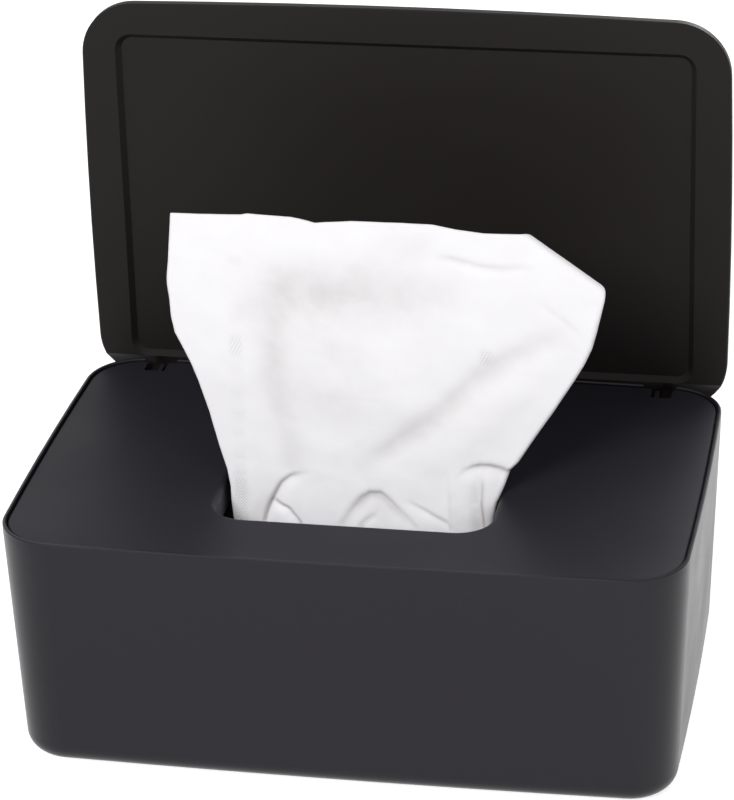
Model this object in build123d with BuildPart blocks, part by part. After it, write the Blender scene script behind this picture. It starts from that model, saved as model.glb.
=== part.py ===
"""Countertop wipes dispenser: a moulded box, a hinged lid that stands open behind it,
an inner cover with a slot, a stack of interfolded wipes and the wipe that stands in the slot.

Millimetres. X runs along the front, +Y points to the hinge side, +Z is up.
The origin is the centre of the base. The lid is modelled open, resting on its stop.
"""
from build123d import *
from math import cos, pi, radians, sin, sqrt, tan
import os

os.makedirs("parts", exist_ok=True)

# ------------------------------------------------------------------ driving sizes
# Tub
box_width = 188.0
box_depth = 122.0
box_height = 70.0
corner_radius = 16.0
long_side_bow = 1.5          # the middle of the front and rear sides bulges by this much
short_side_bow = 1.0
wall_draft = 2.4             # degrees: below the rim the walls lean in towards the base
base_edge_radius = 5.6
floor_edge_break = 2.4
wall = 2.0
floor = 2.2
rim_wall = 1.1               # thinner wall above the ledge that carries the inner cover
rim_edge_break = 0.3

# Inner cover
cover_thickness = 1.8
cover_sink = 0.6             # its top lies this far below the rim
cover_gap = 0.3              # all round, between its edge and the rim
cover_edge_break = 0.4
skirt_thickness = 1.2
skirt_depth = 7.0
skirt_clearance = 0.4

# Slot in the inner cover
slot_width = 76.6
slot_length = 38.8           # from front to rear
slot_front_margin = 24.2     # from the outside of the front wall to the slot
slot_corner_radius = 9.5
slot_lip_radius = 1.6
collar_wall = 1.6
collar_depth = 9.0           # from the top of the cover to the collar's lower edge
collar_edge_break = 0.4

# Lid
lid_thickness = 4.0
lid_gap = 0.3                # running gap to the tub, closed and open
lid_band = 10.3              # flat border round the recess under the lid
lid_recess_depth = 1.8
lid_recess_slope = 40.0      # degrees that the recess wall leans
lid_recess_corner_radius = 5.0
lid_outer_edge_break = 1.2
lid_inner_edge_break = 0.4

# Hinge: arms under the lid carry stub pins that turn in lugs under the inner cover
hinge_inset = 5.15           # the pivot lies this far inside the rear wall and below the rim
arm_distance = 74.7          # from the middle of the box to the inner face of each arm
arm_thickness = 2.7
arm_eye_radius = 2.2
pin_radius = 1.2
pin_clearance = 0.05
pin_end_reach = 0.4          # the pin stands this far out of the lug
pin_end_chamfer = 0.3
lug_thickness = 1.2
lug_side_gap = 0.3
lug_eye_radius = 2.4
lug_top_sink = 0.6           # the lug's top lies this far below the cover's top
lug_foot_length = 9.0        # the lug runs this far forward under the cover
notch_inner_gap = 1.2        # notch in the cover, beside the lug
notch_outer_gap = 0.8        # notch in the cover, beside the arm
wall_notch_inner_gap = 3.6   # notch in the rear wall, hidden by the lid and wider
wall_notch_outer_gap = 1.6
notch_reach = 3.45           # the notch starts this far in front of the pivot
notch_corner_radius = 0.8
wall_notch_floor_gap = 2.4   # under the open arm
skirt_gap_at_hinge = 1.5     # the skirt stops this far from each notch

# Wipes
wipe_length = 140.0          # along X
wipe_fold_depth = 95.0       # from the fold to the free edges
wipe_layer = 0.8
wipe_layer_gap = 0.02
fold_flats = 3               # each fold is drawn with this many flats
wipe_count = 16
wipe_stack_clearance = 0.3   # under the stack, and over it to the standing wipe
standing_wipe_thickness = 0.8
standing_wipe_neck_left = 36.2
standing_wipe_neck_right = 37.4
standing_wipe_wave = 2.6     # depth of the folds in the neck

# ------------------------------------------------------------------ worked out
half_width = box_width / 2
half_depth = box_depth / 2
cover_top = box_height - cover_sink
ledge_height = cover_top - cover_thickness
pivot_y = half_depth - hinge_inset
pivot_z = box_height - hinge_inset
lid_distance = hinge_inset + lid_gap               # from the pivot to the lid's underside
lid_underside_y = pivot_y + lid_distance           # with the lid open
lid_middle_z = pivot_z + pivot_y
slot_middle_y = -half_depth + slot_front_margin + slot_length / 2
lug_distance = arm_distance - lug_side_gap - lug_thickness
notch_start = lug_distance - notch_inner_gap
notch_end = arm_distance + arm_thickness + notch_outer_gap
wall_notch_start = lug_distance - wall_notch_inner_gap
wall_notch_end = arm_distance + arm_thickness + wall_notch_outer_gap
notch_front_y = pivot_y - notch_reach


def box_outline(inset):
    """Plan of the box with bowed sides and round corners, moved inwards by inset."""
    side_x = box_width / 2 - inset
    side_y = box_depth / 2 - inset
    corner_x = side_x - short_side_bow * (side_y / half_depth) ** 2
    corner_y = side_y - long_side_bow * (side_x / half_width) ** 2
    with BuildSketch() as plan:
        with BuildLine():
            ThreePointArc((-corner_x, -corner_y), (0, -side_y), (corner_x, -corner_y))
            ThreePointArc((corner_x, -corner_y), (side_x, 0), (corner_x, corner_y))
            ThreePointArc((corner_x, corner_y), (0, side_y), (-corner_x, corner_y))
            ThreePointArc((-corner_x, corner_y), (-side_x, 0), (-corner_x, -corner_y))
        make_face()
        fillet(plan.vertices(), corner_radius - inset)
    return plan.sketch


def drafted_plans(inset, top, bottom):
    """Heights and plans of a leaning wall, at its top and where it has drawn in below."""
    drawn_in = (top - bottom) * tan(radians(wall_draft))
    return (top, box_outline(inset)), (bottom, box_outline(inset + drawn_in))


def save(piece, name):
    """Label a finished piece and write its STEP file."""
    piece.label = name
    export_step(piece, f"parts/{name}.step")


# ------------------------------------------------------------------ tub
with BuildPart() as tub:
    with BuildSketch(Plane.XY.offset(ledge_height)):
        add(box_outline(0))
    extrude(amount=-ledge_height, taper=wall_draft)
    fillet(tub.edges().group_by(Axis.Z)[0], base_edge_radius)

    with BuildSketch(Plane.XY.offset(ledge_height)):
        add(box_outline(wall))
    extrude(amount=-(ledge_height - floor), taper=wall_draft, mode=Mode.SUBTRACT)
    floor_face = tub.faces().filter_by(Axis.Z).sort_by(Axis.Z)[1]
    chamfer(floor_face.edges(), floor_edge_break)

    # Thin upright rim round the ledge that carries the inner cover
    with BuildSketch(Plane.XY.offset(ledge_height)):
        add(box_outline(0))
        add(box_outline(rim_wall), mode=Mode.SUBTRACT)
    extrude(amount=box_height - ledge_height)

    # Notches in the rear wall for the arms of the open lid
    notch_floor = pivot_z - arm_eye_radius - wall_notch_floor_gap
    for side in (-1, 1):
        with BuildSketch(Plane.XY.offset(notch_floor)):
            with Locations((side * (wall_notch_start + wall_notch_end) / 2, half_depth)):
                Rectangle(wall_notch_end - wall_notch_start, 4 * hinge_inset)
        extrude(amount=box_height - notch_floor, mode=Mode.SUBTRACT)

    # The top of the rim is broken, inside, outside and at the notches
    chamfer(tub.edges().group_by(Axis.Z)[-1], rim_edge_break)

save(tub.part, "tub")

# ------------------------------------------------------------------ inner cover
skirt_inset = wall + skirt_clearance
skirt_bottom = ledge_height - skirt_depth

with BuildPart() as inner_cover:
    # Skirt that hangs inside the tub and keeps the cover in place
    for height, plan in drafted_plans(skirt_inset, ledge_height, skirt_bottom):
        with BuildSketch(Plane.XY.offset(height)):
            add(plan)
    loft(ruled=True)
    for height, plan in drafted_plans(skirt_inset + skirt_thickness, ledge_height, skirt_bottom):
        with BuildSketch(Plane.XY.offset(height)):
            add(plan)
    loft(ruled=True, mode=Mode.SUBTRACT)

    with BuildSketch(Plane.XY.offset(ledge_height)):
        add(box_outline(rim_wall + cover_gap))
    extrude(amount=cover_thickness)

    # Collar and slot with a rolled lip
    with BuildSketch(Plane.XY.offset(cover_top - collar_depth)):
        with Locations((0, slot_middle_y)):
            RectangleRounded(
                slot_width + 2 * collar_wall,
                slot_length + 2 * collar_wall,
                slot_corner_radius + collar_wall,
            )
    extrude(amount=collar_depth - cover_thickness)
    with BuildSketch(Plane.XY.offset(cover_top - collar_depth)):
        with Locations((0, slot_middle_y)):
            RectangleRounded(slot_width, slot_length, slot_corner_radius)
    extrude(amount=collar_depth, mode=Mode.SUBTRACT)
    top_face = inner_cover.faces().filter_by(Axis.Z).sort_by(Axis.Z)[-1]
    fillet(top_face.inner_wires()[0].edges(), slot_lip_radius)
    top_face = inner_cover.faces().filter_by(Axis.Z).sort_by(Axis.Z)[-1]
    chamfer(top_face.outer_wire().edges(), cover_edge_break)
    collar_face = inner_cover.faces().filter_by(Axis.Z).sort_by(Axis.Z)[0]
    chamfer(collar_face.edges(), collar_edge_break)

    for side in (-1, 1):
        # Gap in the skirt, then the notch that lets the arm of the lid through
        with BuildSketch(Plane.XY.offset(skirt_bottom)):
            with Locations((side * (notch_start + notch_end) / 2, half_depth)):
                Rectangle(notch_end - notch_start + 2 * skirt_gap_at_hinge, 4 * hinge_inset)
        extrude(amount=skirt_depth, mode=Mode.SUBTRACT)
        with BuildSketch(Plane.XY.offset(ledge_height)) as notch:
            with BuildLine():
                Polyline(
                    (side * notch_start, box_depth),
                    (side * notch_start, notch_front_y),
                    (side * notch_end, notch_front_y),
                    (side * notch_end, box_depth),
                    close=True,
                )
            make_face()
            fillet(notch.vertices().group_by(Axis.Y)[0], notch_corner_radius)
        extrude(amount=cover_thickness, mode=Mode.SUBTRACT)

        # Bearing lug: a thin upright rib with the pivot hole
        lug_top = cover_top - lug_top_sink
        lug_foot_y = notch_front_y - lug_foot_length
        with BuildSketch(Plane.YZ.offset(side * lug_distance)):
            with BuildLine():
                Polyline(
                    (pivot_y, pivot_z - lug_eye_radius),
                    (lug_foot_y, ledge_height - cover_gap),
                    (lug_foot_y, ledge_height),
                    (notch_front_y, ledge_height),
                    (notch_front_y, lug_top),
                    (pivot_y + lug_eye_radius, lug_top),
                    (pivot_y + lug_eye_radius, pivot_z),
                )
                RadiusArc(
                    (pivot_y + lug_eye_radius, pivot_z),
                    (pivot_y, pivot_z - lug_eye_radius),
                    lug_eye_radius,
                )
            make_face()
            with Locations((pivot_y, pivot_z)):
                Circle(pin_radius + pin_clearance, mode=Mode.SUBTRACT)
        extrude(amount=side * lug_thickness)

save(inner_cover.part, "inner_cover")

# ------------------------------------------------------------------ lid, open
# The underside faces the front, so sketches lie on an upright plane that looks along -Y.
lid_plane = Plane(origin=(0, lid_underside_y, lid_middle_z), x_dir=(1, 0, 0), z_dir=(0, -1, 0))
cove_radius = hinge_inset * sqrt(2) + lid_gap       # clears the tub's rear top edge

with BuildPart() as lid:
    with BuildSketch(lid_plane):
        add(box_outline(0))
    extrude(amount=-lid_thickness)
    outer_face = lid.faces().filter_by(Axis.Y).sort_by(Axis.Y)[-1]
    chamfer(outer_face.edges(), lid_outer_edge_break)
    inner_face = lid.faces().filter_by(Axis.Y).sort_by(Axis.Y)[0]
    chamfer(inner_face.edges(), lid_inner_edge_break)

    with BuildSketch(lid_plane):
        RectangleRounded(
            box_width - 2 * lid_band, box_depth - 2 * lid_band, lid_recess_corner_radius
        )
    extrude(amount=-lid_recess_depth, taper=lid_recess_slope, mode=Mode.SUBTRACT)

    # Cove along the hinge side, so that the lid swings round the rear edge of the tub
    with BuildSketch(Plane.YZ):
        with Locations((pivot_y, pivot_z)):
            Circle(cove_radius)
    extrude(amount=half_width, both=True, mode=Mode.SUBTRACT)

    for side in (-1, 1):
        with BuildSketch(Plane.YZ.offset(side * arm_distance)):
            with Locations((pivot_y, pivot_z)):
                Circle(arm_eye_radius)
                Rectangle(
                    cove_radius + lid_gap, 2 * arm_eye_radius, align=(Align.MIN, Align.CENTER)
                )
        extrude(amount=side * arm_thickness)
        pin_length = lug_side_gap + lug_thickness + pin_end_reach
        with BuildSketch(Plane.YZ.offset(side * arm_distance)):
            with Locations((pivot_y, pivot_z)):
                Circle(pin_radius)
        extrude(amount=-side * pin_length)
    for side in (-1, 1):
        pin_end_x = side * (arm_distance - pin_length)
        ends = lid.edges().filter_by(
            lambda edge: abs(edge.center().X - pin_end_x) < pin_end_chamfer
            and abs(edge.center().Z - pivot_z) < pin_radius
            and edge.geom_type == GeomType.CIRCLE
        )
        chamfer(ends, pin_end_chamfer)

save(lid.part, "lid")

# ------------------------------------------------------------------ folded wipes
# Each wipe is folded once, and its two legs hold one leg of each neighbour between them,
# so that the one above pulls it up. The folds lie at the front and the rear in turn.
layer_pitch = wipe_layer + wipe_layer_gap
stack_bottom = floor + wipe_stack_clearance
stack_top = stack_bottom + (2 * wipe_count + 2) * layer_pitch
fold_radius = 2 * layer_pitch - wipe_layer_gap / 2


def fold_arc(middle_y, middle_z, side, radius):
    """Points round a fold from its top to its bottom, with flats between them."""
    turns = [pi / 2 - pi * step / fold_flats for step in range(fold_flats + 1)]
    return [(middle_y + side * radius * cos(turn), middle_z + radius * sin(turn)) for turn in turns]


for number in range(wipe_count):
    top_leg_z = stack_top - (2 * number + 1) * layer_pitch + wipe_layer_gap / 2
    fold_z = top_leg_z + wipe_layer - fold_radius
    fold_side = 1 if number % 2 else -1
    fold_y = fold_side * (wipe_fold_depth / 2 - fold_radius)
    free_y = -fold_y
    outside = fold_arc(fold_y, fold_z, fold_side, fold_radius)
    inside = fold_arc(fold_y, fold_z, fold_side, fold_radius - wipe_layer)
    with BuildPart() as folded_wipe:
        with BuildSketch(Plane.YZ.offset(-wipe_length / 2)):
            with BuildLine():
                Polyline(
                    (free_y, fold_z + fold_radius),
                    *outside,
                    (free_y, fold_z - fold_radius),
                    (free_y, fold_z - fold_radius + wipe_layer),
                    *reversed(inside),
                    (free_y, fold_z + fold_radius - wipe_layer),
                    close=True,
                )
            make_face()
        extrude(amount=wipe_length)
    save(folded_wipe.part, f"folded_wipe_{number + 1:02d}")

# ------------------------------------------------------------------ standing wipe
# Height above the cover, left end, right end and lean to the rear of each cross-section
wipe_sections = (
    (-1.5, -standing_wipe_neck_left, standing_wipe_neck_right, 0.0),
    (16.0, -40.6, 46.2, 0.6),
    (31.0, -44.6, 55.8, 2.0),
    (49.0, -51.4, 64.4, 4.6),
    (65.0, -52.2, 68.4, 7.6),
    (82.0, -50.6, 70.0, 11.0),
)
corner_fold_start = (47.5, 80.0)     # X and height above the cover where the folded corner begins
corner_fold_end = (68.2, 64.0)
wave_points = 9


def wipe_section(left, right, middle_y):
    """Cross-section of the standing wipe: a thin wavy strip."""
    width = right - left
    neck_width = standing_wipe_neck_left + standing_wipe_neck_right
    wave = standing_wipe_wave * (neck_width / width)
    front = []
    for step in range(wave_points):
        along = step / (wave_points - 1)
        ripple = wave * sin(2.5 * pi * along) - wave * cos(pi * along)
        front.append((left + along * width, middle_y + ripple))
    back = [(x, y + standing_wipe_thickness) for x, y in front]
    with BuildSketch() as section:
        with BuildLine():
            Polyline(*front, *reversed(back), close=True)
        make_face()
    return section.sketch


strips = [
    (height, wipe_section(left, right, slot_middle_y + lean))
    for height, left, right, lean in wipe_sections
]

with BuildPart() as standing_wipe:
    for height, strip in strips:
        with BuildSketch(Plane.XY.offset(cover_top + height)):
            add(strip)
    loft(ruled=True)
    neck_height, neck_strip = strips[0]
    with BuildSketch(Plane.XY.offset(cover_top + neck_height)):
        add(neck_strip)
    neck_bottom = stack_top + wipe_stack_clearance
    extrude(amount=-(cover_top + neck_height - neck_bottom))

    # The right top corner is folded down behind the wipe
    with BuildSketch(Plane.XZ.offset(box_depth)):
        with BuildLine():
            fold_x, fold_height = corner_fold_start
            edge_x, edge_height = corner_fold_end
            slope_x = edge_x - fold_x
            slope_z = edge_height - fold_height
            Polyline(
                (fold_x - slope_x, cover_top + fold_height - slope_z),
                (edge_x + slope_x, cover_top + edge_height + slope_z),
                (edge_x + slope_x, cover_top + fold_height - slope_z),
                close=True,
            )
        make_face()
    extrude(amount=-2 * box_depth, mode=Mode.SUBTRACT)

save(standing_wipe.part, "standing_wipe")
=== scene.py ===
# %% [markdown]
# # A countertop wipes dispenser
# The dispenser is a black moulded box, an inner cover with a slot, a flip-up lid, and a stack of
# white wipes, one of which stands up through the slot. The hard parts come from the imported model
# and keep their shape: they only get a finish here. The wipes are soft, so they are remade as
# cloth. Everything is in metres, but cloth is easier to think of in millimetres, so the tables are
# in millimetres and `MM` turns them.

import math

import bpy
import numpy as np
from mathutils import Matrix, Vector, noise


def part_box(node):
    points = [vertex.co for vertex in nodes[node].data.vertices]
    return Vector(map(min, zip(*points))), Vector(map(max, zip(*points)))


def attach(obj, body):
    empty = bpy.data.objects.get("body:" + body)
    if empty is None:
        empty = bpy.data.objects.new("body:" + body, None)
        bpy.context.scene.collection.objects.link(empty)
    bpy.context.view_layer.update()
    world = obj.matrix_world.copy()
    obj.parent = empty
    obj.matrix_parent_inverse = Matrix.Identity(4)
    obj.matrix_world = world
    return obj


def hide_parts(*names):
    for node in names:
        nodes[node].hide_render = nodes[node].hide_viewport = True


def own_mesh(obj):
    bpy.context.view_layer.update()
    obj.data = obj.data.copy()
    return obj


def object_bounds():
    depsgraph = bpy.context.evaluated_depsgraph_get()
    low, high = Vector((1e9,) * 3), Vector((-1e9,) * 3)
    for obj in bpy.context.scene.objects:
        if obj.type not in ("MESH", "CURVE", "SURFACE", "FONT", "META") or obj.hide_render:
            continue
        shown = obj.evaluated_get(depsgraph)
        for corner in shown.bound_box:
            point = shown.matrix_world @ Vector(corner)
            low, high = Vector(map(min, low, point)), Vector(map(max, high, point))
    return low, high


MM = 0.001
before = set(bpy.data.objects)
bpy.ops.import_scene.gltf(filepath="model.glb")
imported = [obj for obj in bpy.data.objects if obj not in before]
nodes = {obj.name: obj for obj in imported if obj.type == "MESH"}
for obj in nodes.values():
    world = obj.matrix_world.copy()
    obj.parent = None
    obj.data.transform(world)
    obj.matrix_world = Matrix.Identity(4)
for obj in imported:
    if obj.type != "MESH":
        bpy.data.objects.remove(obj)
cad_box = [list(corner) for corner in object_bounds()]
scene = bpy.context.scene
print("parts:", len(nodes), "box in mm:", [[round(v / MM, 1) for v in c] for c in cad_box])

# %% [markdown]
# ## The camera
# The camera comes first, because it decides which folds show. It looks slightly down and from a
# little to the right, through a long lens, as a product is usually taken. The lens axis isn't in
# the middle of the frame, so the camera has a small shift.

# %% Camera
FRAME_SIZE = (734, 800)
AIM = Vector((5.587, 0.0, 116.417)) * MM
DISTANCE = 958.7 * MM
AZIMUTH, ELEVATION, ROLL = (math.radians(a) for a in (10.838, 24.001, -1.558))
FOCAL_PIXELS = 3510.47
LENS_CENTRE = (386.93, 310.66)

back = Vector(
    (
        math.sin(AZIMUTH) * math.cos(ELEVATION),
        -math.cos(AZIMUTH) * math.cos(ELEVATION),
        math.sin(ELEVATION),
    )
)
right = Vector((0, 0, 1)).cross(back).normalized()
up = back.cross(right)
turned_right = math.cos(ROLL) * right + math.sin(ROLL) * up
turned_up = -math.sin(ROLL) * right + math.cos(ROLL) * up

camera_data = bpy.data.cameras.new("product_camera")
camera = bpy.data.objects.new("product_camera", camera_data)
scene.collection.objects.link(camera)
camera.matrix_world = Matrix.Translation(AIM + back * DISTANCE) @ Matrix(
    (turned_right, turned_up, back)
).transposed().to_4x4()
camera_data.lens = FOCAL_PIXELS / max(FRAME_SIZE) * camera_data.sensor_width
camera_data.shift_x = (FRAME_SIZE[0] / 2 - LENS_CENTRE[0]) / max(FRAME_SIZE)
camera_data.shift_y = (LENS_CENTRE[1] - FRAME_SIZE[1] / 2) / max(FRAME_SIZE)
camera_data.clip_start, camera_data.clip_end = 0.05, 20
scene.camera = camera
print("camera at", [round(v / MM) for v in camera.matrix_world.translation], "mm")

# %% [markdown]
# ## Helpers
# Colours are written as hex values, as a paint chart gives them, and turned to the linear values
# that a shader works with. One function adds a node, sets it and links its inputs.

# %% Colours and nodes
def colour(hex_value):
    """An sRGB hex colour as the linear colour a shader takes."""
    parts = [int(hex_value[i : i + 2], 16) / 255 for i in (1, 3, 5)]
    return tuple(c / 12.92 if c <= 0.04045 else ((c + 0.055) / 1.055) ** 2.4 for c in parts) + (1,)


def add(tree, kind, settings=None, **inputs):
    """Adds a node. Settings are its own properties; inputs are values or other nodes' sockets."""
    made = tree.nodes.new(kind)
    for name, value in (settings or {}).items():
        setattr(made, name, value)
    for name, value in inputs.items():
        key = int(name[1:]) if name[0] == "i" and name[1:].isdigit() else name.replace("_", " ")
        socket = made.inputs[key]
        if isinstance(value, bpy.types.NodeSocket):
            tree.links.new(value, socket)
        else:
            socket.default_value = value
    return made


def new_material(name):
    """An empty material with its shader and output, and the shader's tree."""
    made = bpy.data.materials.new(name)
    made.use_nodes = True
    made.node_tree.nodes.clear()
    shader = add(made.node_tree, "ShaderNodeBsdfPrincipled")
    output = add(made.node_tree, "ShaderNodeOutputMaterial")
    made.node_tree.links.new(shader.outputs[0], output.inputs["Surface"])
    return made, made.node_tree, shader

# %% [markdown]
# ## The standing wipe
# The real wipe is a sheet of soft spunlace cloth, 140 by 190 mm. It was folded, so it stands up:
# its front panel is what one sees, the right edge is a fold, and the rest of the width runs back
# behind the panel. The top right corner has flopped over backwards. Below the slot the cloth still
# lies in folds on the stack. A simulation wouldn't stop in these exact folds, so the sheet's shape
# is
# given as lists: its outline and creases are listed as points, and every vertex of one fine grid
# is placed by them. The grid's columns run across the cloth and its rows run down it.

# %% Outline of the standing wipe, in mm
CLOTH_WIDTH, CLOTH_LENGTH = 140.0, 190.0
CLOTH_THICKNESS = 0.5
FRONT_Y = -16.0
SLOT_TOP = 69.4
# (height, x) up the left edge and up the folded right edge, and (x, height) along the top
left_edge = [
    (30, -34.2), (46, -35.0), (58, -36.4), (63, -36.8), (67.9, -36.8), (72.8, -37.5), (80, -39.5),
    (89.4, -41.9), (98.7, -44.8), (103.2, -46.6), (107.8, -48.9), (112.3, -51.2), (116.8, -52.1),
    (121.4, -52.4), (125.9, -53.0), (128.2, -53.0), (132.7, -52.5), (139.5, -52.0), (147, -51.5),
]
right_edge = [
    (30, 34.4), (46, 35.0), (58, 36.0), (62.9, 36.5), (67.9, 37.6), (72.9, 39.6), (77.8, 41.2),
    (80.3, 43.5), (85.3, 46.5), (90.1, 49.5), (95, 52.7), (99.8, 55.6), (104.5, 58.5),
    (109.3, 61.2),
    (113.9, 63.2), (118.5, 64.4), (123, 65.4), (127.5, 66.4), (132, 66.9), (138, 67.6), (148, 68.4),
]
top_edge = [
    (-54, 146.1), (-51.5, 146.1), (-42.9, 146.3), (-31.8, 146.9), (-30.2, 147.3), (-25.8, 147.1),
    (-18.1, 146.9), (-14.6, 146.3), (-11.6, 145.6), (-8.6, 146), (-1.7, 146.6), (11.8, 146.8),
    (20.5, 146.7), (26.7, 145.6), (34, 144.8), (44.2, 144.9), (70, 145.2),
]


def along(table, at):
    """Reads a table of pairs as a smooth-enough line."""
    keys, values = zip(*table)
    return np.interp(at, keys, values)


print("cloth", CLOTH_WIDTH, "x", CLOTH_LENGTH, "mm, top at", max(z for _, z in top_edge))

# %% [markdown]
# ## Folds
# Most of what makes cloth look real is in its folds. A fold here is a line of points with a depth:
# positive pushes the cloth away from the viewer and makes a valley, negative makes a ridge. Each
# side of the line has its own width, so one side can be steep, as where one layer tucks under
# another, and the other soft. The depth falls off as a bell curve, and all the folds are added up.

# %% Folds of the front panel: (width left, width right of the line, points of x, height, depth)
front_folds = [
    # the broad hollow across the panel, the one down its left side, the long valley on the right
    (7.0, 7.0, [
        (-28, 121.6, 0.3), (-16, 124.6, 0.8), (-2, 124.3, 0.9), (12, 125, 0.7), (23, 126.5, 0.2),
    ]),
    (4.5, 5.0, [
        (-22, 126, 0.3), (-23.2, 110, 0.7), (-22.8, 95, 0.7), (-20.4, 86, 0.5), (-19.3, 76, 0.4),
    ]),
    (3.6, 3.0, [
        (56, 117.5, 0.2), (47, 113.5, 0.5), (40, 109, 0.7), (33, 104, 0.8), (22.5, 93, 0.8),
        (8.5, 82.3, 0.6), (0.6, 76.4, 0.2),
    ]),
    # the shallow arc under the top edge, and the crease near the right edge
    (0.9, 1.5, [
        (22, 137.7, 0.1), (25.3, 137.3, 0.4), (33.4, 135.4, 0.45), (38.8, 135.1, 0.4),
        (47, 135.9, 0.1),
    ]),
    (0.9, 1.2, [(49, 126.8, 0.05), (53.6, 122.8, 0.2), (57.6, 120.1, 0.2), (61.1, 116.6, 0.05)]),
    # soft ridges between the valleys
    (8.0, 8.0, [(-38, 138, -0.3), (-37, 120, -0.5), (-35, 100, -0.6), (-34, 84, -0.3)]),
    (7.0, 8.0, [(-6, 112, -0.2), (4, 105, -0.5), (10, 96, -0.4), (2, 86, -0.2)]),
    (5.0, 6.0, [(52, 110, -0.2), (42, 99, -0.5), (32, 88, -0.6), (22, 79, -0.3)]),
    # the left tuck and the small fold that leaves it
    (2.2, 0.45, [
        (-16.6, 73.2, 0.2), (-19.7, 72.0, 0.9), (-22.3, 69.9, 1.3), (-23.8, 67.3, 1.6),
        (-25.4, 64.1, 1.8), (-26.7, 60.9, 1.8), (-28, 56, 1.8),
    ]),
    (0.4, 1.7, [
        (-25.1, 64.1, 0.2), (-22.9, 63.1, 0.9), (-20.4, 62.0, 1.2), (-19.0, 59.9, 1.2),
        (-16.0, 56, 1.0),
    ]),
    # the arch in the middle, with the small line inside it
    (1.0, 3.2, [
        (-6, 57, 0.4), (-2.2, 63.4, 0.7), (0.4, 66.6, 1.0), (2.7, 68.0, 1.3), (5.5, 68.2, 1.2),
        (8.2, 65.9, 0.8), (10.9, 63, 0.6), (15, 58.5, 0.4),
    ]),
    (0.4, 1.0, [(4.2, 62.0, 0.2), (2.2, 60.3, 0.8), (0, 58, 0.8)]),
    # the facet beside the arch: a thin fold below it and a straight crease on its right
    (0.45, 1.6, [(14.3, 66.0, 0.2), (17.9, 64.1, 0.4), (23.4, 61.0, 0.45), (25, 59, 0.4)]),
    (2.5, 0.5, [(24.7, 76, -0.1), (24.9, 70.6, -0.5), (25.1, 66.1, -0.6), (25.0, 56, -0.6)]),
    # the tuck under the right edge and the crease that runs down from it
    (0.6, 2.6, [
        (28.6, 76.4, 0.2), (31.1, 77.9, 0.5), (33.3, 78.4, 0.7), (36.0, 78.4, 0.8),
        (38.8, 77.8, 0.8), (42, 76.8, 0.7),
    ]),
    (0.45, 2.6, [
        (33.8, 76.2, 0.3), (33.8, 71.1, 1.0), (33.4, 66.5, 1.8), (33.7, 63.5, 2.2), (34, 55, 2.2),
    ]),
]
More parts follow.
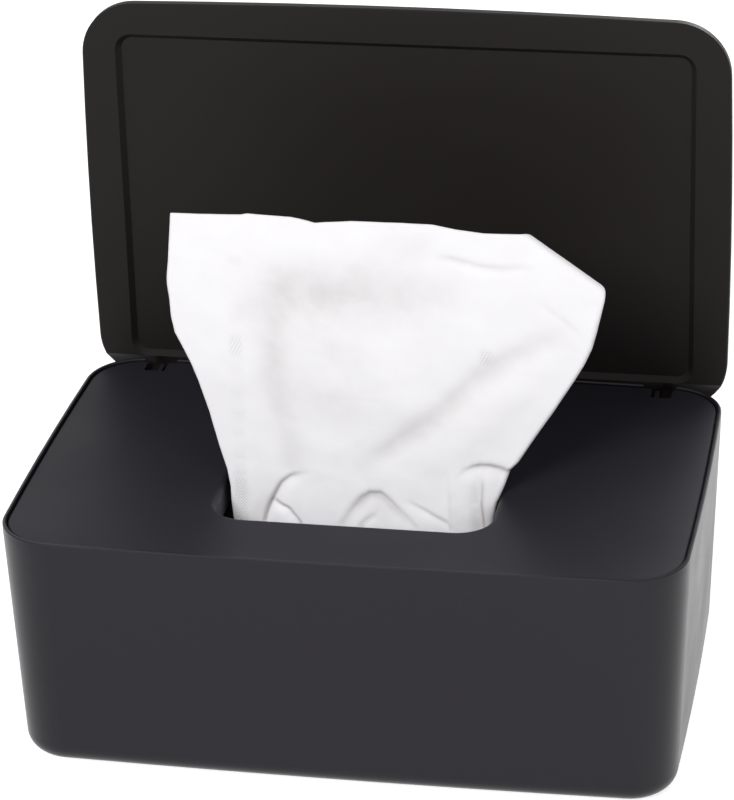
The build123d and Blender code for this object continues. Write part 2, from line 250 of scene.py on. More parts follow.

# %% [markdown]
# ## Painted shade on the cloth
# Where only one thin layer of cloth hangs, the dark lid behind it would show through, and little
# light gets into a tight crease. Both are painted into the cloth's colour as soft grey shade that
# no relief
# would give: a number per vertex on the mesh, which the material turns into painted shade.

# %% Painted shade: (half width, points of x, height, strength)
painted_shade_places = [
    (6.0, [
        (-28, 121.6, 0.09), (-16, 124.6, 0.16), (-2, 124.3, 0.19), (12, 125, 0.16),
        (23, 126.5, 0.06),
    ]),
    (5.0, [(-21, 130.5, 0.05), (-5, 131.4, 0.07), (9, 135.8, 0.05), (16, 141, 0.05)]),
    (3.8, [
        (-21.8, 126, 0.08), (-23.1, 115, 0.14), (-23.4, 103, 0.18), (-22.7, 94.5, 0.14),
        (-20.4, 86, 0.11), (-19.3, 76, 0.13),
    ]),
    (6.0, [(-12, 114, 0.08), (-2, 110, 0.06)]),
    (4.0, [(-16, 99, 0.07), (-8, 96, 0.09), (2, 93, 0.03)]),
    (3.0, [
        (55.5, 117.3, 0.04), (47, 113.5, 0.11), (40, 109, 0.13), (33.4, 104, 0.14),
        (22.5, 93, 0.15), (15.5, 87.2, 0.17), (8.5, 82.3, 0.17), (0.6, 76.4, 0.06),
    ]),
    (1.1, [
        (22, 137.7, 0.03), (25.3, 137.3, 0.09), (33.4, 135.4, 0.1), (38.8, 135.1, 0.08),
        (47, 135.9, 0.02),
    ]),
    (0.8, [(49, 126.8, 0.02), (53.6, 122.8, 0.06), (57.6, 120.1, 0.06), (61.1, 116.6, 0.02)]),
    # painted shade in the creases at the slot
    (0.7, [
        (-16.8, 73.0, 0.05), (-19.7, 72.0, 0.28), (-22.3, 69.9, 0.32), (-23.8, 67.3, 0.38),
        (-25.4, 64.1, 0.42), (-26.7, 60.9, 0.4), (-28, 56, 0.4),
    ]),
    (2.6, [(-24, 68, 0.05), (-28, 62.5, 0.14), (-30, 59, 0.2), (-31, 55, 0.2)]),
    (0.6, [
        (-25.1, 64.1, 0.2), (-22.9, 63.1, 0.4), (-20.4, 62.0, 0.42), (-19.0, 59.9, 0.42),
        (-16.4, 56.8, 0.4),
    ]),
    (1.2, [
        (-4.6, 59.5, 0.12), (-2.2, 63.4, 0.2), (0.4, 66.4, 0.34), (2.7, 67.7, 0.4),
        (5.5, 67.6, 0.36), (8.2, 65.2, 0.24), (12, 61, 0.1),
    ]),
    (2.6, [(1.0, 64.5, 0.1), (4.2, 65.0, 0.22), (7, 63, 0.14)]),
    (0.5, [(4.2, 62.0, 0.1), (2.2, 60.3, 0.4), (0.1, 58.0, 0.4)]),
    (0.5, [(14.3, 66.0, 0.05), (17.9, 64.1, 0.2), (23.4, 61.0, 0.24)]),
    (0.6, [(24.7, 75, 0.02), (25.0, 68, 0.08), (25.0, 58, 0.1)]),
    (0.9, [
        (29.0, 76.9, 0.05), (31.1, 78.1, 0.24), (33.3, 78.7, 0.34), (36.0, 78.8, 0.4),
        (38.8, 78.0, 0.4), (41, 77, 0.3),
    ]),
    (2.2, [(33.5, 76.2, 0.04), (38, 76, 0.14), (37.5, 71, 0.1), (36, 66, 0.22), (35.2, 60, 0.34)]),
    (0.6, [
        (33.8, 75.0, 0.04), (33.8, 71.1, 0.34), (33.4, 66.5, 0.5), (33.8, 62, 0.55), (34, 56, 0.5),
    ]),
]

# Pressed crosshatch: a strip of small diamonds down the left, strong in some places, and one patch
pressed_strip = [
    (58, 1.0), (66, 1.0), (70, 0.9), (70.9, 0.25), (72, 0.8), (74, 0.25), (76, 0.2), (77, 0.7),
    (78.5, 0.15), (82.5, 0.15), (84, 0.5), (87, 0.15), (90, 0.55), (92, 0.1), (97, 0.3), (99, 0.1),
    (103, 0.4), (106, 0.15), (108, 0.75), (112, 0.7), (114, 0.1), (121, 0.3), (124, 0.0),
    (132.5, 0.0), (134, 0.5), (136, 0.0), (150, 0.0),
]
STRIP_X, STRIP_HALF_WIDTH = -33.9, 1.9
PATCH_X, PATCH_HALF_WIDTH = 34.8, 1.8
PATCH_Z, PATCH_HALF_HEIGHT = 110.3, 2.4
PATCH_STRENGTH = 0.8
# painted show-through: the single layer above is painted greyer than the cloth low down, where
# several layers lie behind each other
SINGLE_LAYER_PAINTED_SHADE = 0.14
LAYERED_BELOW, LAYERED_FADE = 74, 16


def relief(folds, x, z):
    """Depth of all the folds at each point, in mm."""
    total = np.zeros_like(x)
    for left_width, right_width, points in folds:
        best = np.full_like(x, 1e9)
        depth = np.zeros_like(x)
        side = np.zeros_like(x)
        for (x0, z0, d0), (x1, z1, d1) in zip(points, points[1:]):
            dx, dz = x1 - x0, z1 - z0
            t = np.clip(((x - x0) * dx + (z - z0) * dz) / (dx * dx + dz * dz), 0, 1)
            away_x, away_z = x - (x0 + t * dx), z - (z0 + t * dz)
            away = away_x**2 + away_z**2
            nearer = away < best
            best = np.where(nearer, away, best)
            depth = np.where(nearer, d0 + t * (d1 - d0), depth)
            side = np.where(nearer, dx * away_z - dz * away_x, side)
        width = np.where(side > 0, left_width, right_width)
        total += depth * np.exp(-best / width**2)
    return total


def painted_shade(x, z):
    """How much shade is painted on the cloth at each point, and how strongly it is pressed, both
    from 0 to 1.
    """
    as_folds = [(width, width, points) for width, points in painted_shade_places]
    strip = np.exp(-(((x - STRIP_X) / STRIP_HALF_WIDTH) ** 6)) * along(pressed_strip, z)
    patch = PATCH_STRENGTH * np.exp(
        -(((x - PATCH_X) / PATCH_HALF_WIDTH) ** 4) - ((z - PATCH_Z) / PATCH_HALF_HEIGHT) ** 4
    )
    single_layer_painted_shade = SINGLE_LAYER_PAINTED_SHADE * np.clip((z - LAYERED_BELOW) / LAYERED_FADE, 0, 1)
    return np.clip(relief(as_folds, x, z) + single_layer_painted_shade, 0, 1), np.clip(strip + patch, 0, 1)


print("folds on the front panel:", len(front_folds), "grey places:", len(painted_shade_places))

# %% [markdown]
# ## Laying the cloth on its path
# Seen from the side, the cloth comes down the front panel, goes through the slot and then lies in
# three short folds on the stack. That line is the path of every column. Across the cloth each row
# is a front panel, a tight turn at the right edge, and the rest of the width running back behind.
# So a vertex is: a point on the path, plus an offset behind it.

# %% Side view of the cloth below the slot, in mm: (y, height)
TAIL_TOP = 58.0
TAIL_STEP = 2.0
STEPS_PER_SPAN = 12
tail_points = [
    (FRONT_Y, TAIL_TOP), (-15.7, 52), (-16.3, 48), (-19.5, 45.4), (-28, 45), (-30.8, 42.3),
    (-28, 39.6), (-9, 39.6), (-8, 38.8), (-9, 38), (-28, 38), (-30.8, 35.2), (-28, 32.4),
    (-12, 32.2),
]


def smooth_line(points, step=TAIL_STEP):
    """A smooth line through points, in even steps."""
    points = np.array(points, float)
    padded = np.vstack([2 * points[0] - points[1], points, 2 * points[-1] - points[-2]])
    line = []
    for a, b, c, d in zip(padded, padded[1:], padded[2:], padded[3:]):
        for t in np.linspace(0, 1, STEPS_PER_SPAN, endpoint=False):
            square, cube = 2 * a - 5 * b + 4 * c - d, 3 * b - a - 3 * c + d
            line.append(0.5 * (2 * b + (c - a) * t + square * t**2 + cube * t**3))
    line = np.array(line + [points[-1]])
    lengths = np.concatenate([[0], np.cumsum(np.linalg.norm(np.diff(line, axis=0), axis=1))])
    even = np.arange(0, lengths[-1], step)
    return np.column_stack([np.interp(even, lengths, line[:, k]) for k in range(2)]), lengths[-1]


tail_line, tail_length = smooth_line(tail_points)
print("cloth below the slot:", round(tail_length), "mm")

# %% The grid of the standing wipe
FRONT_COLUMNS, TURN_COLUMNS, BACK_COLUMNS = 170, 8, 40
FRONT_ROWS = 140
LAYER_GAP = 2.3
TURN = LAYER_GAP / 2
BACK_SPREAD = 2.6      # how far the back layer drifts from the front one, in mm
SPREAD_FULL_AT, SPREAD_LEAST = 60, 0.25    # mm of back layer for all of it, and its least share
HIGHEST = 147          # a first guess of the top, corrected by the outline
PANEL_TOP = 146.5      # the height at which the flat cloth's length starts
PANEL_HEIGHT, LEAN, LEAN_POWER = 78, 6.0, 1.6
BOW, BOW_MIDDLE, BOW_HALF_WIDTH = 1.6, 6, 60
CRINKLES = ((0.4, 17, 3.1), (0.16, 6.5, 7.7), (0.05, 2.6, 1.3))    # depth and width in mm, seed


def panel_lean(z):
    """How far the panel leans to the rear, in mm."""
    return LEAN * np.clip((z - SLOT_TOP) / PANEL_HEIGHT, 0, None) ** LEAN_POWER


def crinkle(x, z, size, seed):
    """Soft random waves about as wide as size, from -1 to 1."""
    flat = [noise.noise(Vector((a / size, b / size, seed))) for a, b in zip(x.ravel(), z.ravel())]
    return np.array(flat).reshape(x.shape)


def panel_depth(x, z):
    """The y of the front panel at each point, in mm."""
    fine = sum(depth * crinkle(x, z, size, seed) for depth, size, seed in CRINKLES)
    bow = BOW * ((x - BOW_MIDDLE) / BOW_HALF_WIDTH) ** 2
    return FRONT_Y + panel_lean(z) + bow + relief(front_folds, x, z) + fine


def cross_cloth(level):
    """x, offset behind the panel and place across the flat cloth, for a row at each height."""
    left, folded = along(left_edge, level), along(right_edge, level)
    chord = folded - TURN - left
    s = np.linspace(0, 1, FRONT_COLUMNS)[None, :]
    front_x, front_off, front_u = left + s * chord, 0 * s * chord, s * chord
    angle = np.linspace(0, math.pi, TURN_COLUMNS + 2)[None, 1:-1]
    turn_x = folded - TURN + TURN * np.sin(angle)
    turn_off = TURN - TURN * np.cos(angle) + 0 * chord
    turn_u = chord + angle * TURN
    rest = CLOTH_WIDTH - chord - math.pi * TURN
    t = np.linspace(0, 1, BACK_COLUMNS)[None, :]
    back_x = folded - TURN - t * rest
    back_off = LAYER_GAP + BACK_SPREAD * t**1.5 * np.clip(rest / SPREAD_FULL_AT, SPREAD_LEAST, 1)
    back_u = chord + math.pi * TURN + t * rest
    return (
        np.hstack([front_x, turn_x + 0 * chord, back_x]),
        np.hstack([front_off, turn_off, back_off]),
        np.hstack([front_u, turn_u, back_u]),
    )


rows = np.linspace(0, 1, FRONT_ROWS)[:, None]
level = HIGHEST - rows * (HIGHEST - TAIL_TOP)
for _ in range(3):
    x, offset, across = cross_cloth(level.mean(axis=1, keepdims=True))
    level = along(top_edge, x) * (1 - rows) + TAIL_TOP * rows
z = level
print("panel grid:", x.shape)

# %% [markdown]
# ## The flopped corner
# The top right corner has dropped over to the rear. Every point beyond a slanting line is carried
# round that line, first through a half turn of small radius and then straight down behind the
# panel. The layers are drawn together near the line, because a fold is only as crisp as it is thin.

# %% The corner that has flopped over backwards
CORNER_LINE = ((47.1, 142.0), (66.2, 128.7))
CORNER_RADIUS = 1.3
PINCH, PINCH_REACH, PINCH_FADE = 0.75, 5, 1.5
(line_x, line_z), (end_x, end_z) = CORNER_LINE
line_length = math.hypot(end_x - line_x, end_z - line_z)
out_x, out_z = -(end_z - line_z) / line_length, (end_x - line_x) / line_length
beyond = (x - line_x) * out_x + (z - line_z) * out_z
offset = offset * (1 - PINCH / (1 + np.exp(-(beyond + PINCH_REACH) / PINCH_FADE)))
axis = CORNER_RADIUS
angle = np.clip(beyond / CORNER_RADIUS, 0, math.pi)
turned = axis - offset
moved = np.where(
    beyond > 0, turned * np.sin(angle) - np.clip(beyond - math.pi * CORNER_RADIUS, 0, None), beyond
)
x = x + (moved - beyond) * out_x
z = z + (moved - beyond) * out_z
offset = np.where(beyond > 0, axis - turned * np.cos(angle), offset)
front_points = np.stack([x, panel_depth(x, z) + offset, z], axis=-1)
front_painted_shade, front_pressed = painted_shade(x, z)
print("folded corner: furthest back", round(float(offset.max()), 1), "mm behind the panel")

# %% The tail, along its path
TAIL_DROP = 28         # how far down the edge tables the tail reaches, in mm
PANEL_HOLD = 9.0       # mm of tail over which the panel's folds die out
TAIL_CRINKLE = (0.35, 9, 5.2)
direction = np.gradient(tail_line, axis=0)
direction /= np.linalg.norm(direction, axis=1, keepdims=True)
behind = np.column_stack([-direction[:, 1], direction[:, 0]])
steps = np.arange(1, len(tail_line))
tail_share = (steps / steps[-1])[:, None]
tail_x, tail_offset, tail_across = cross_cloth(TAIL_TOP - tail_share * TAIL_DROP)
hold = np.exp(-((steps * TAIL_STEP / PANEL_HOLD) ** 2))[:, None]
tail_depth = (panel_depth(tail_x, np.full_like(tail_x, TAIL_TOP)) - FRONT_Y) * hold
tail_place = steps[:, None] * TAIL_STEP + 0 * tail_x
tail_depth += (1 - hold) * (TAIL_CRINKLE[0] * crinkle(tail_x, tail_place, *TAIL_CRINKLE[1:]))
tail_offset = tail_offset * hold + np.clip(tail_offset, 0, LAYER_GAP) * (1 - hold)
out = (tail_depth + tail_offset)[..., None] * behind[steps][:, None, :]
tail_points_grid = np.concatenate([tail_x[..., None], tail_line[steps][:, None, :] + out], axis=-1)

grid = np.concatenate([front_points, tail_points_grid])
down = np.concatenate([rows * (PANEL_TOP - TAIL_TOP) + 0 * x, PANEL_TOP - TAIL_TOP + tail_place])
across = np.concatenate([np.broadcast_to(across, x.shape), tail_across])
print("whole grid:", grid.shape[:2], "cloth length", round(float(down.max())), "mm")

# %% [markdown]
# ## From the grid to a mesh
# The grid becomes a mesh with one square face between each four neighbours. Two things are stored
# with it for the material: where each point lies on the flat cloth, as a UV map in millimetres, and
# how much shade is painted on it and how pressed it is. A Solidify modifier gives the sheet its
# thickness, and the result is kept as a plain mesh, so nothing depends on a live modifier.

# %% A mesh from a grid
def keep_result(made):
    """Turns an object's evaluated shape into its own plain mesh and removes the modifiers."""
    bpy.context.view_layer.update()
    result = bpy.data.meshes.new_from_object(
        made.evaluated_get(bpy.context.evaluated_depsgraph_get()),
    )
    result.name = made.name
    made.modifiers.clear()
    made.data = result
    return made


def thicken(made):
    """Gives a single layer of cloth its thickness."""
    shell = made.modifiers.new("thickness", "SOLIDIFY")
    shell.thickness, shell.offset = CLOTH_THICKNESS * MM, 0


def sheet_mesh(name, grid, across, down, marks):
    """A smooth cloth mesh from a grid of points in mm. The flat cloth's own millimetres are its UV
    map, and each mark is stored as a number per vertex."""
    height, width = grid.shape[:2]
    index = np.arange(height * width).reshape(height, width)
    faces = np.stack(
        [index[:-1, :-1], index[1:, :-1], index[1:, 1:], index[:-1, 1:]], axis=-1
    ).reshape(-1, 4)
    mesh = bpy.data.meshes.new(name)
    mesh.from_pydata((grid.reshape(-1, 3) * MM).tolist(), [], faces.tolist())
    uv = mesh.uv_layers.new(name="flat_cloth")
    flat = np.stack([across, down], axis=-1).reshape(-1, 2)
    uv.data.foreach_set("uv", flat[faces.ravel()].astype(np.float32).ravel())
    for mark, values in marks.items():
        mesh.attributes.new(mark, "FLOAT", "POINT").data.foreach_set(
            "value", values.astype(np.float32).ravel()
        )
    mesh.shade_smooth()
    made = bpy.data.objects.new(name, mesh)
    scene.collection.objects.link(made)
    thicken(made)
    return keep_result(made)


no_marks = np.zeros_like(tail_x)
standing_wipe = sheet_mesh(
    "standing_wipe_cloth",
    grid,
    across,
    down,
    {
        "painted_shade": np.concatenate([front_painted_shade, no_marks]),
        "pressed": np.concatenate([front_pressed, no_marks]),
    },
)
print(standing_wipe.name, len(standing_wipe.data.polygons), "faces")

# %% [markdown]
# ## The cloth
# The wipes are spunlace viscose: fibres tangled by water jets, soft, matt and slightly fuzzy, with
# no thread direction. A shader for it needs no weave, only a fine fibre bump and a faint
# cloudiness, because the fibres never lie quite evenly. Its pattern follows the cloth's own UV map
# in real millimetres, so it doesn't slide over the folds. The pressed strip is two sets of slanting
# lines, and where they cross the cloth is pinched into a small dimple.

# %% Spunlace cloth
FIBRE_CLUMP = 0.6       # mm, a tangle of fibres, drawn coarser than a real one so that it shows
CLOUD = 9.0             # mm
PRESS_PITCH = 0.95      # mm between pressed lines, measured across the cloth
WAVE_PER_SCALE = 0.6283  # a diagonal wave texture of scale 1 repeats after this much of x + y


def cloth_material():
    """White spunlace viscose: matt and bright, with painted shade where it is thin or deeply
    creased.
    """
    made, tree, shader = new_material("spunlace_viscose_white")
    uv = add(tree, "ShaderNodeUVMap", {"uv_map": "flat_cloth"}).outputs[0]
    fibres = add(
        tree,
        "ShaderNodeTexNoise",
        {"noise_dimensions": "2D"},
        Vector=uv,
        Scale=1 / FIBRE_CLUMP,
        Detail=5.0,
        Roughness=0.65,
    )
    cloudy = add(
        tree,
        "ShaderNodeTexNoise",
        {"noise_dimensions": "2D"},
        Vector=uv,
        Scale=1 / CLOUD,
        Detail=4.0,
        Roughness=0.6,
    )

    # the pressed dimples: where both waves are high, and only where the mesh says it is pressed
    mirrored = add(tree, "ShaderNodeMapping", Vector=uv, Scale=(1, -1, 1))
    lines = [
        add(
            tree,
            "ShaderNodeTexWave",
            {"wave_type": "BANDS", "bands_direction": "DIAGONAL"},
            Vector=place,
            Scale=WAVE_PER_SCALE / PRESS_PITCH,
        ).outputs["Fac"]
        for place in (uv, mirrored.outputs[0])
    ]
    crossed = add(tree, "ShaderNodeMath", {"operation": "MULTIPLY"}, i0=lines[0], i1=lines[1])
    pressed = add(tree, "ShaderNodeAttribute", {"attribute_name": "pressed"})
    dimple = add(
        tree,
        "ShaderNodeMath",
        {"operation": "MULTIPLY"},
        i0=crossed.outputs[0],
        i1=pressed.outputs["Fac"],
    )

    # tone: cloudy white, then painted shade where the cloth is creased and painted show-through
    # where it is thin, then painted shade in the dimples
    white = add(
        tree,
        "ShaderNodeMix",
        {"data_type": "RGBA"},
        Factor=cloudy.outputs["Fac"],
        A=colour("#F4F3F6"),
        B=colour("#FCFBFE"),
    )
    painted_shade_attribute = add(tree, "ShaderNodeAttribute", {"attribute_name": "painted_shade"})
    uneven = add(
        tree,
        "ShaderNodeMapRange",
        {},
        Value=cloudy.outputs["Fac"],
        From_Min=0.3,
        From_Max=0.7,
        To_Min=0.8,
        To_Max=1.2,
    )
    shade = add(
        tree,
        "ShaderNodeMath",
        {"operation": "MULTIPLY"},
        i0=painted_shade_attribute.outputs["Fac"],
        i1=uneven.outputs[0],
    )
    # painted shade: the cloth is greyed towards this colour in creases and where a thin single
    # layer lets the dark lid show through
    painted_shade_colour = add(
        tree,
        "ShaderNodeMix",
        {"data_type": "RGBA"},
        Factor=shade.outputs[0],
        A=white.outputs["Result"],
        B=colour("#99908A"),
    )
    # painted shade in the pressed dimples: their colour is darkened towards grey
    dimple_painted_shade = add(
        tree, "ShaderNodeMath", {"operation": "MULTIPLY"}, i0=dimple.outputs[0], i1=0.3
    )
    painted_shade_colour = add(
        tree,
        "ShaderNodeMix",
        {"data_type": "RGBA"},
        Factor=dimple_painted_shade.outputs[0],
        A=painted_shade_colour.outputs["Result"],
        B=colour("#8E8C8E"),
    )
    tree.links.new(painted_shade_colour.outputs["Result"], shader.inputs["Base Color"])

    fuzz = add(
        tree, "ShaderNodeBump", Height=fibres.outputs["Fac"], Strength=0.3, Distance=0.10 * MM
    )
    pinched = add(
        tree,
        "ShaderNodeBump",
        {"invert": True},
        Height=dimple.outputs[0],
        Strength=0.6,
        Distance=0.25 * MM,
        Normal=fuzz.outputs[0],
    )
    tree.links.new(pinched.outputs[0], shader.inputs["Normal"])
    shader.inputs["Roughness"].default_value = 0.95
    shader.inputs["Specular IOR Level"].default_value = 0.15
    shader.inputs["Sheen Weight"].default_value = 0.12
    shader.inputs["Sheen Roughness"].default_value = 0.5
    return made


cloth = cloth_material()
standing_wipe.data.materials.clear()
standing_wipe.data.materials.append(cloth)
print(cloth.name, len(cloth.node_tree.nodes), "nodes")

# %% [markdown]
# ## The stack of folded wipes
# Sixteen wipes lie in the box, each folded once. A leg of every neighbour lies between its two
# legs, which is how one wipe pulls up the next. They all have the same shape, turned front or rear,
# so one Geometry Nodes tree makes them: a flat grid is bent round the fold by its own formula.
# Sizes come in as named inputs. A modifier could also bend a plane, but the formula keeps the legs
# exactly apart.

# %% The folding tree
FOLD_INPUTS = {
    "Width": "NodeSocketFloat",
    "Leg": "NodeSocketFloat",
    "Bend radius": "NodeSocketFloat",
    "Side": "NodeSocketFloat",
    "Middle height": "NodeSocketFloat",
    "Unevenness": "NodeSocketFloat",
    "Seed": "NodeSocketFloat",
    "Cloth": "NodeSocketMaterial",
}
LEG_SHARE = 0.42    # share of the grid's rows on each leg; the rest go round the fold
COLUMNS, ROWS = 30, 64


def folding_tree():
    """Bends a flat grid into a sheet folded once, with a little unevenness."""
    tree = bpy.data.node_groups.new("fold_once", "GeometryNodeTree")
    for name, kind in FOLD_INPUTS.items():
        tree.interface.new_socket(name=name, in_out="INPUT", socket_type=kind)
    tree.interface.new_socket(name="Geometry", in_out="OUTPUT", socket_type="NodeSocketGeometry")
    given = add(tree, "NodeGroupInput").outputs

    def maths(operation, first, second=0.0):
        return add(tree, "ShaderNodeMath", {"operation": operation}, i0=first, i1=second).outputs[0]

    flat = add(
        tree,
        "GeometryNodeMeshGrid",
        {},
        Size_X=given["Width"],
        Size_Y=1.0,
        Vertices_X=COLUMNS,
        Vertices_Y=ROWS,
    )
    place = add(tree, "GeometryNodeInputPosition")
    spot = add(tree, "ShaderNodeSeparateXYZ", {}, Vector=place.outputs[0]).outputs
    share = maths("ADD", spot["Y"], 0.5)

    def stretch(start, end, reach):
        return add(
            tree, "ShaderNodeMapRange", {}, Value=share, From_Min=start, From_Max=end, To_Max=reach
        ).outputs[0]

    first_leg = stretch(0.0, LEG_SHARE, given["Leg"])
    bend = stretch(LEG_SHARE, 1 - LEG_SHARE, math.pi)
    second_leg = stretch(1 - LEG_SHARE, 1.0, given["Leg"])
    along_leg = maths(
        "SUBTRACT", maths("SUBTRACT", first_leg, second_leg), maths("MULTIPLY", given["Leg"], 0.5)
    )
    bulge = maths("MULTIPLY", maths("SINE", bend), given["Bend radius"])
    rise = maths("MULTIPLY", maths("COSINE", bend), given["Bend radius"])

    ripple = add(
        tree,
        "ShaderNodeTexNoise",
        {"noise_dimensions": "4D"},
        Vector=place.outputs[0],
        W=given["Seed"],
        Scale=30.0,
        Detail=2.0,
    )
    uneven = maths("MULTIPLY", maths("SUBTRACT", ripple.outputs["Fac"], 0.5), given["Unevenness"])
    placed = add(
        tree,
        "ShaderNodeCombineXYZ",
        {},
        X=spot["X"],
        Y=maths("MULTIPLY", maths("ADD", along_leg, bulge), given["Side"]),
        Z=maths("ADD", maths("ADD", rise, uneven), given["Middle height"]),
    )
    length = maths(
        "ADD", maths("ADD", first_leg, second_leg), maths("MULTIPLY", bend, given["Bend radius"])
    )
    cloth_place = add(
        tree,
        "ShaderNodeCombineXYZ",
        {},
        X=maths("DIVIDE", spot["X"], MM),
        Y=maths("DIVIDE", length, MM),
    )
    stored = add(
        tree,
        "GeometryNodeStoreNamedAttribute",
        {"data_type": "FLOAT2", "domain": "CORNER"},
        Geometry=flat.outputs["Mesh"],
        Name="flat_cloth",
    )
    value = next(socket for socket in stored.inputs if socket.name == "Value" and socket.enabled)
    tree.links.new(cloth_place.outputs[0], value)
    bent = add(
        tree, "GeometryNodeSetPosition", {}, Geometry=stored.outputs[0], Position=placed.outputs[0]
    )
    smooth = add(tree, "GeometryNodeSetShadeSmooth", {}, Geometry=bent.outputs[0])
    real = add(tree, "GeometryNodeRealizeInstances", {}, Geometry=smooth.outputs[0])
    finished = add(
        tree, "GeometryNodeSetMaterial", {}, Geometry=real.outputs[0], Material=given["Cloth"]
    )
    add(tree, "NodeGroupOutput", {}, Geometry=finished.outputs[0])
    return tree


fold_once = folding_tree()
print(fold_once.name, len(fold_once.nodes), "nodes")

# %% One piece for each folded wipe
WIPE_COUNT = 16
CAD_LAYER = 0.8 * MM
UNEVENNESS = 0.2 * MM    # less than the room between two layers


def folded_wipe(number):
    """A folded sheet of cloth in the place of one folded wipe."""
    low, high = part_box(f"folded_wipe_{number:02d}")
    outer_radius = (high[2] - low[2]) / 2
    values = {
        "Width": CLOTH_WIDTH * MM,
        "Leg": high[1] - low[1] - outer_radius,
        "Bend radius": outer_radius - CAD_LAYER / 2,
        "Side": math.copysign(1.0, high[1] + low[1]),
        "Middle height": (high[2] + low[2]) / 2,
        "Unevenness": UNEVENNESS,
        "Seed": float(number),
        "Cloth": cloth,
    }
    made = bpy.data.objects.new(f"folded_cloth_{number:02d}", bpy.data.meshes.new("flat"))
    scene.collection.objects.link(made)
    modifier = made.modifiers.new("folding", "NODES")
    modifier.node_group = fold_once
    for socket in fold_once.interface.items_tree:
        if socket.in_out == "INPUT":
            modifier[socket.identifier] = values[socket.name]
    thicken(made)
    return keep_result(made)


folded_wipes = [folded_wipe(number) for number in range(1, WIPE_COUNT + 1)]
print("folded wipes:", len(folded_wipes), "with", len(folded_wipes[0].data.polygons), "faces each")

# %% [markdown]
# ## The moulded parts
# The box, the cover and the lid are injection-moulded polypropylene. The mould has a fine
# spark-eroded texture, so the plastic is satin: no sharp reflections, but a soft lightening where
# it is seen at a low angle. A texture this fine is only a bump, with a slow change in roughness
# over it, because no moulding cools quite evenly. Scuffs are rare on a new box, so there are none.
# The three parts share one recipe with their own gloss. They are one black plastic; their colours
# differ by painted light: the cover is painted a little lighter and the lid darker and warmer.

# %% Moulded polypropylene
GRAIN = 0.5 * MM         # the mould texture, drawn about three times as coarse, so that it shows
FLOW = 38 * MM           # how fast the gloss changes over the part


def plastic_material(name, hex_colour, rough, shine):
    """Black satin polypropylene with the mould's fine texture."""
    made, tree, shader = new_material(name)
    place = add(tree, "ShaderNodeTexCoord").outputs["Object"]
    grain = add(tree, "ShaderNodeTexNoise", {}, Vector=place, Scale=1 / GRAIN, Detail=3.0)
    flow = add(
        tree, "ShaderNodeTexNoise", {}, Vector=place, Scale=1 / FLOW, Detail=4.0, Roughness=0.6
    )
    gloss = add(
        tree,
        "ShaderNodeMapRange",
        {},
        Value=flow.outputs["Fac"],
        From_Min=0.3,
        From_Max=0.7,
        To_Min=rough - 0.04,
        To_Max=rough + 0.05,
    )
    tree.links.new(gloss.outputs[0], shader.inputs["Roughness"])
    bump = add(
        tree, "ShaderNodeBump", Height=grain.outputs["Fac"], Strength=0.15, Distance=0.06 * MM
    )
    tree.links.new(bump.outputs[0], shader.inputs["Normal"])
    shader.inputs["Base Color"].default_value = colour(hex_colour)
    shader.inputs["IOR"].default_value = 1.49
    shader.inputs["Specular IOR Level"].default_value = shine
    return made


# name, colour, roughness, specular level; satin on the box and the cover, a little duller on the
# lid. The colours hold painted light: the cover's is painted lighter, the lid's darker and warmer.
finishes_with_painted_light = {
    "tub": ("box_polypropylene_spark_eroded", "#1C1A20", 0.31, 0.25),
    "inner_cover": ("cover_polypropylene_spark_eroded", "#26252B", 0.46, 0.14),
    "lid": ("lid_polypropylene_fine_matt", "#1B1817", 0.50, 0.15),
}
for node, finish_with_painted_light in finishes_with_painted_light.items():
    nodes[node].data.materials.clear()
    nodes[node].data.materials.append(plastic_material(*finish_with_painted_light))
print("plastics:", ", ".join(name for name, *_ in finishes_with_painted_light.values()))

# %% [markdown]
# ## Floor and light
# The dispenser stands on a plain pale floor in a white studio. White cloth beside black plastic is
# the test here: the lamps stay low enough for the cloth to keep its folds, and the white around the
# object comes from the floor's and the world's own colour, as seen by the camera and by
# reflections. One soft lamp above the camera lights the cloth down into the slot, a weaker one
# fills in, and a third lights the back.

# %% Floor and world
FLOOR_SIZE = 8
FLOOR_GAP = 0.2 * MM      # keeps the floor and the box's underside apart
FLOOR_GLOW = 0.75         # brings the floor up to the background's white
WORLD_ON_OBJECT = 0.2     # how strongly the white world lights the object

bpy.ops.mesh.primitive_plane_add(size=FLOOR_SIZE, location=(0, 0, cad_box[0][2] - FLOOR_GAP))
floor = bpy.context.object
floor.name = "floor"


def seen_directly(tree):
    """1 for what the camera, a reflection or a see-through surface shows, else 0."""
    rays = add(tree, "ShaderNodeLightPath").outputs
    seen = rays["Is Camera Ray"]
    for other in ("Is Glossy Ray", "Is Transmission Ray"):
        seen = add(
            tree, "ShaderNodeMath", {"operation": "MAXIMUM"}, i0=seen, i1=rays[other]
        ).outputs[0]
    return seen


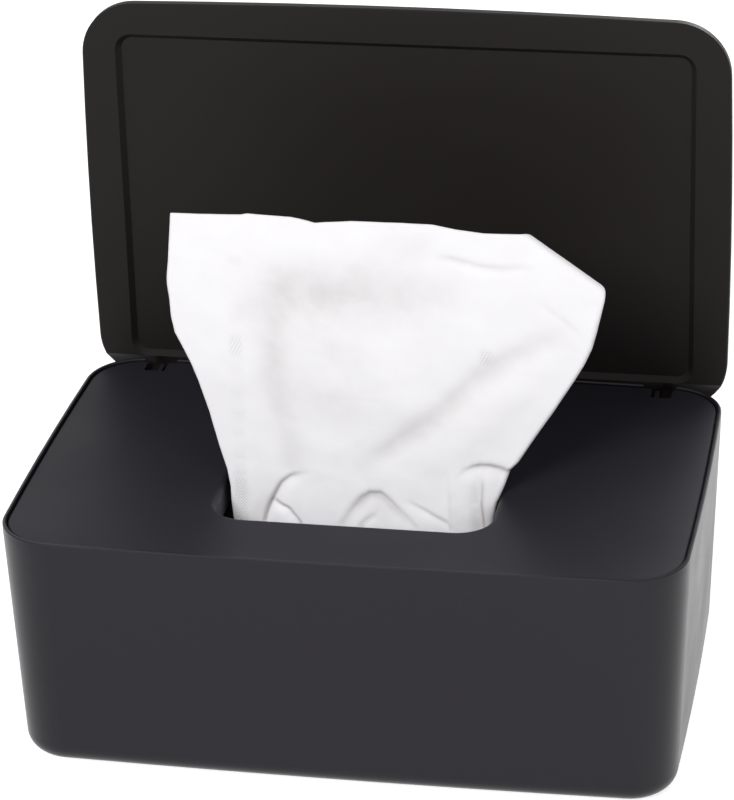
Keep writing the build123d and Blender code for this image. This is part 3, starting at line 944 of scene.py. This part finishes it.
floor_material, tree, shader = new_material("pale_floor")
shader.inputs["Base Color"].default_value = colour("#D2D2D2")
shader.inputs["Roughness"].default_value = 0.9
glow = add(tree, "ShaderNodeMath", {"operation": "MULTIPLY"}, i0=seen_directly(tree), i1=FLOOR_GLOW)
tree.links.new(glow.outputs[0], shader.inputs["Emission Strength"])
shader.inputs["Emission Color"].default_value = (1, 1, 1, 1)
floor.data.materials.append(floor_material)

world = bpy.data.worlds.new("studio")
scene.world = world
world.use_nodes = True
world.node_tree.nodes.clear()
level = add(
    world.node_tree,
    "ShaderNodeMapRange",
    {},
    Value=seen_directly(world.node_tree),
    To_Min=WORLD_ON_OBJECT,
    To_Max=1.0,
)
sky = add(
    world.node_tree, "ShaderNodeBackground", {}, Color=(1, 1, 1, 1), Strength=level.outputs[0]
)
add(world.node_tree, "ShaderNodeOutputWorld", {}, Surface=sky.outputs[0])

# %% Lamps
LIT_POINT = Vector((0, 0, 0.09))


def soft_box(name, place, size, watts):
    """A large square lamp that looks at the object."""
    data = bpy.data.lights.new(name, "AREA")
    data.shape, data.size, data.energy = "SQUARE", size, watts
    lamp = bpy.data.objects.new(name, data)
    scene.collection.objects.link(lamp)
    aim = (LIT_POINT - Vector(place)).to_track_quat("-Z", "Y").to_matrix().to_4x4()
    lamp.matrix_world = Matrix.Translation(place) @ aim


# name, place and size in metres, power in watts
soft_box("key_box", (-0.35, -1.25, 0.98), 0.5, 17.5)
soft_box("fill_box", (0.9, -1.1, 0.8), 0.7, 5.5)
soft_box("back_box", (0.5, 1.5, 0.9), 0.8, 14)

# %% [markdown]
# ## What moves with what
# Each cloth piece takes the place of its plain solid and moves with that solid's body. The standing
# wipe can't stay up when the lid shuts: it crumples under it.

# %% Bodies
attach(standing_wipe, "wipe")
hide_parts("standing_wipe")
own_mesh(standing_wipe)
for number, piece in enumerate(folded_wipes, 1):
    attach(piece, "tub")
    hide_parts(f"folded_wipe_{number:02d}")
print("cloth pieces:", 1 + len(folded_wipes))

# %% [markdown]
# ## The view transform
# Colours are shown through the Standard view transform. The dressed object may stand only a
# little proud of the hard model.

# %% View transform
scene.view_settings.view_transform = "Standard"
